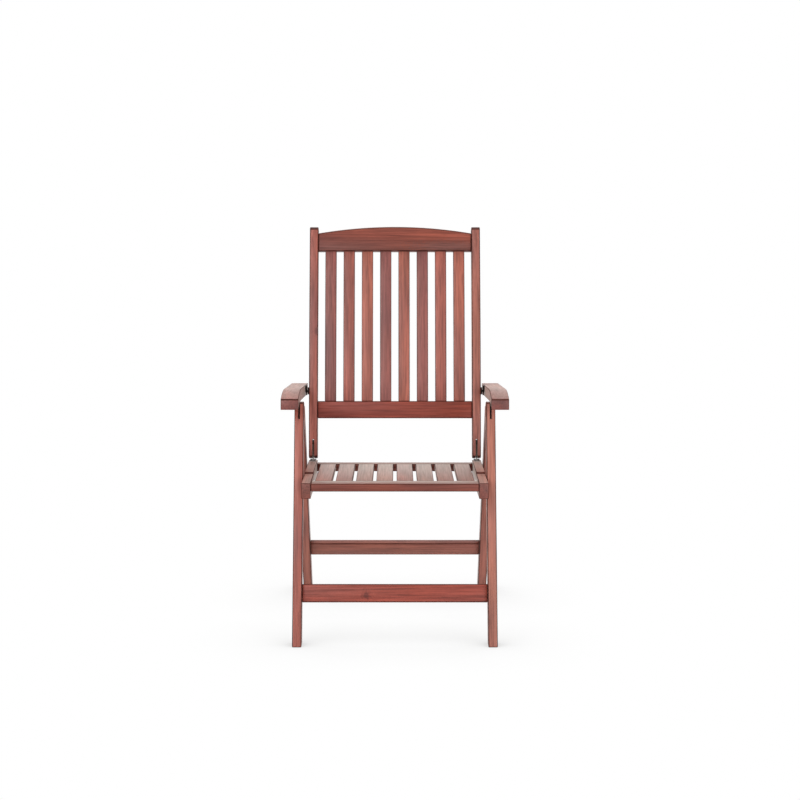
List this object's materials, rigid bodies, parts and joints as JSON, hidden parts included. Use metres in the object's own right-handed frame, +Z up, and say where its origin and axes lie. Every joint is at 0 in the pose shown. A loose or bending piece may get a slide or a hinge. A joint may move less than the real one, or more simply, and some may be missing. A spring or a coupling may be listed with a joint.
{
  "type": "folding armchair",
  "caption": "High-back folding armchair in red-brown stained hardwood, with a slatted seat, a curved slatted back that reclines on notched racks, and sloping arms with drooping noses.",
  "frame": {"origin": "on the floor, under the middle of the chair's width and depth", "axes": "+Z up, the front faces -Y, +X to the right as seen from the front"},
  "size_m": [0.59, 0.6942, 1.0468],
  "materials": {
    "wood": "satin stained hardwood",
    "steel": "dull zinc plate"
  },
  "bodies": {
    "front_frame": {"front_leg_left": "wood", "front_leg_right": "wood", "front_stretcher": "wood", "front_stretcher_screws": "steel", "arm_pivot_pins": "steel", "seat_pivot_bolts": "steel", "seat_pivot_nuts": "steel", "seat_pivot_washers": "steel", "leg_hinge_front_leaves": "steel", "leg_hinge_pins": "steel", "front_leaf_screws": "steel"},
    "rear_frame": {"rear_leg_left": "wood", "rear_leg_right": "wood", "rear_stretcher": "wood", "rear_stretcher_screws": "steel", "leg_hinge_rear_leaves": "steel", "rear_leaf_screws": "steel", "seat_rest_pins": "steel"},
    "seat": {"seat_rail_left": "wood", "seat_rail_right": "wood", "seat_front_board": "wood", "seat_rear_board": "wood", "back_hinge_plate_left": "steel", "back_hinge_plate_right": "steel", "back_plate_screws": "steel", "seat_slat_1": "wood", "seat_slat_2": "wood", "seat_slat_3": "wood", "seat_slat_4": "wood", "seat_slat_5": "wood", "seat_slat_6": "wood", "seat_slat_7": "wood", "seat_slat_8": "wood"},
    "back": {"back_stile_left": "wood", "back_stile_right": "wood", "back_bottom_rail": "wood", "back_top_rail": "wood", "recline_pin_left": "steel", "recline_pin_right": "steel", "back_hinge_pins": "steel", "back_slat_1": "wood", "back_slat_2": "wood", "back_slat_3": "wood", "back_slat_4": "wood", "back_slat_5": "wood", "back_slat_6": "wood", "back_slat_7": "wood", "back_slat_8": "wood"},
    "arm_left": {"armrest_left": "wood", "arm_hinge_plate_left": "steel", "recline_rack_left": "steel", "arm_plate_screws_left": "steel", "rack_screws_left": "steel"},
    "arm_right": {"armrest_right": "wood", "arm_hinge_plate_right": "steel", "recline_rack_right": "steel", "arm_plate_screws_right": "steel", "rack_screws_right": "steel"}
  },
  "joints": [
    {"name": "seat_fold", "type": "hinge", "parent": "front_frame", "child": "seat", "pos_m": [0, -0.18859, 0.39819], "axis": [1, 0, 0], "range_deg": [0, 60]},
    {"name": "rear_leg_fold", "type": "hinge", "parent": "front_frame", "child": "rear_frame", "pos_m": [0, -0.11005, 0.55319], "axis": [-1, 0, 0], "range_deg": [0, 53.05]},
    {"name": "arm_left_fold", "type": "hinge", "parent": "front_frame", "child": "arm_left", "pos_m": [0, -0.13152, 0.5668], "axis": [1, 0, 0], "range_deg": [0, 67.25]},
    {"name": "arm_right_fold", "type": "hinge", "parent": "front_frame", "child": "arm_right", "pos_m": [0, -0.13152, 0.5668], "axis": [1, 0, 0], "range_deg": [0, 67.25]},
    {"name": "back_turn", "type": "hinge", "parent": "seat", "child": "back", "pos_m": [0, 0.12742, 0.45202], "axis": [-1, 0, 0], "range_deg": [0, 86]}
  ],
  "couplings": [
    {"joint": "rear_leg_fold", "follows": "seat_fold", "ratio": 0.88333},
    {"joint": "arm_left_fold", "follows": "seat_fold", "ratio": 1.12},
    {"joint": "arm_right_fold", "follows": "seat_fold", "ratio": 1.12}
  ]
}
